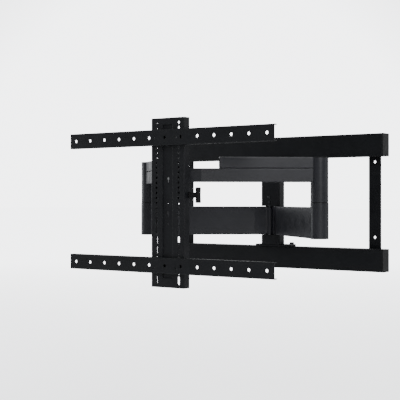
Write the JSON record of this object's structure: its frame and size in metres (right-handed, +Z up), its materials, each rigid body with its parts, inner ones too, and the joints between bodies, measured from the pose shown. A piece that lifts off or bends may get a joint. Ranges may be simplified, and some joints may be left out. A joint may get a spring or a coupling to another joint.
{
  "type": "full motion tv wall mount",
  "caption": "Full motion wall mount for a flat panel: wall frame with sliding column, paired folding arms, swivelling and tilting mast with two perforated panel rails.",
  "frame": {"origin": "middle of the wall frame, on its wall face, half way between the two wall rails", "axes": "+Y into the wall, +X to the right as seen from the room, +Z up; the panel faces -Y"},
  "size_m": [0.73, 0.5653, 0.4255],
  "materials": {
    "powder_coated_steel": "satin",
    "arm_finish": "satin",
    "black_plastic": "matte",
    "fastener_steel": "satin",
    "bush_polymer": "matte"
  },
  "bodies": {
    "wall_frame": {"wall_rail_upper": "powder_coated_steel", "wall_rail_lower": "powder_coated_steel", "rail_end_caps": "black_plastic", "wall_strap_left": "powder_coated_steel", "wall_strap_right": "powder_coated_steel", "strap_screws": "fastener_steel"},
    "column": {"column_spine": "powder_coated_steel", "column_upper_block": "powder_coated_steel", "column_lower_block": "powder_coated_steel", "column_screws": "fastener_steel", "foot_plate_upper": "powder_coated_steel", "foot_plate_lower": "powder_coated_steel", "rail_clamp_bars": "fastener_steel", "clamp_screws": "fastener_steel", "wall_pivot_pins": "fastener_steel"},
    "rear_arm_left": {"rear_arm_tube_left": "arm_finish", "rear_arm_knuckle_left": "arm_finish", "wall_pivot_bushes_left": "bush_polymer", "elbow_lower_housing_left": "arm_finish", "elbow_pin_left": "fastener_steel", "elbow_thrust_washer_left": "bush_polymer", "elbow_bottom_cap_left": "black_plastic"},
    "front_arm_left": {"front_arm_tube_left": "arm_finish", "front_arm_knuckle_left": "arm_finish", "head_pivot_bushes_left": "bush_polymer", "cable_cover_left": "arm_finish", "elbow_upper_housing_left": "arm_finish", "elbow_bushes_left": "bush_polymer", "elbow_top_cap_left": "black_plastic"},
    "rear_arm_right": {"rear_arm_tube_right": "arm_finish", "rear_arm_knuckle_right": "arm_finish", "wall_pivot_bushes_right": "bush_polymer", "elbow_lower_housing_right": "arm_finish", "elbow_pin_right": "fastener_steel", "elbow_thrust_washer_right": "bush_polymer", "elbow_bottom_cap_right": "black_plastic"},
    "front_arm_right": {"front_arm_tube_right": "arm_finish", "front_arm_knuckle_right": "arm_finish", "head_pivot_bushes_right": "bush_polymer", "cable_cover_right": "arm_finish", "elbow_upper_housing_right": "arm_finish", "elbow_bushes_right": "bush_polymer", "elbow_top_cap_right": "black_plastic"},
    "yoke": {"head_yoke": "powder_coated_steel", "head_pivot_pins": "fastener_steel"},
    "swivel": {"swivel_carrier": "powder_coated_steel", "swivel_pin": "fastener_steel", "tilt_pivot_bolts": "fastener_steel"},
    "panel_head": {"mast": "powder_coated_steel", "tilt_side_plate_left": "powder_coated_steel", "tilt_side_plate_right": "powder_coated_steel", "tilt_lock_bolt": "fastener_steel", "panel_rail_upper": "powder_coated_steel", "panel_rail_lower": "powder_coated_steel", "panel_rail_screws": "fastener_steel"},
    "lock_handle": {"tilt_lock_handle": "black_plastic"}
  },
  "joints": [
    {"name": "column_slide", "type": "slide", "parent": "wall_frame", "child": "column", "axis": [1, 0, 0], "range_m": [-0.09, 0.05]},
    {"name": "arm_extend", "type": "hinge", "parent": "column", "child": "rear_arm_right", "pos_m": [0.032, -0.056, 0], "axis": [0, 0, -1], "range_deg": [-30, 30]},
    {"name": "elbow_right", "type": "hinge", "parent": "rear_arm_right", "child": "front_arm_right", "pos_m": [0.30129, -0.27957, 0], "axis": [0, 0, 1], "range_deg": [-60, 60]},
    {"name": "rear_arm_left_turn", "type": "hinge", "parent": "column", "child": "rear_arm_left", "pos_m": [0.012, -0.056, 0], "axis": [0, 0, 1], "range_deg": [-30, 30]},
    {"name": "elbow_left", "type": "hinge", "parent": "rear_arm_left", "child": "front_arm_left", "pos_m": [-0.25729, -0.27957, 0], "axis": [0, 0, -1], "range_deg": [-60, 60]},
    {"name": "head_square", "type": "hinge", "parent": "front_arm_right", "child": "yoke", "pos_m": [0.032, -0.50314, 0], "axis": [0, 0, -1], "range_deg": [-30, 30]},
    {"name": "head_swivel", "type": "hinge", "parent": "yoke", "child": "swivel", "pos_m": [0.022, -0.5343, 0.07], "axis": [0, 0, 1], "range_deg": [-20, 20]},
    {"name": "head_tilt", "type": "hinge", "parent": "swivel", "child": "panel_head", "pos_m": [0.022, -0.5343, 0.07], "axis": [1, 0, 0], "range_deg": [-3, 10]},
    {"name": "lock_handle_turn", "type": "hinge", "parent": "panel_head", "child": "lock_handle", "pos_m": [0.099, -0.5283, 0.0195], "axis": [1, 0, 0], "range_deg": [-180, 180]}
  ],
  "couplings": [
    {"joint": "rear_arm_left_turn", "follows": "arm_extend", "ratio": 1},
    {"joint": "elbow_right", "follows": "arm_extend", "ratio": 2},
    {"joint": "elbow_left", "follows": "arm_extend", "ratio": 2},
    {"joint": "head_square", "follows": "arm_extend", "ratio": 1}
  ]
}
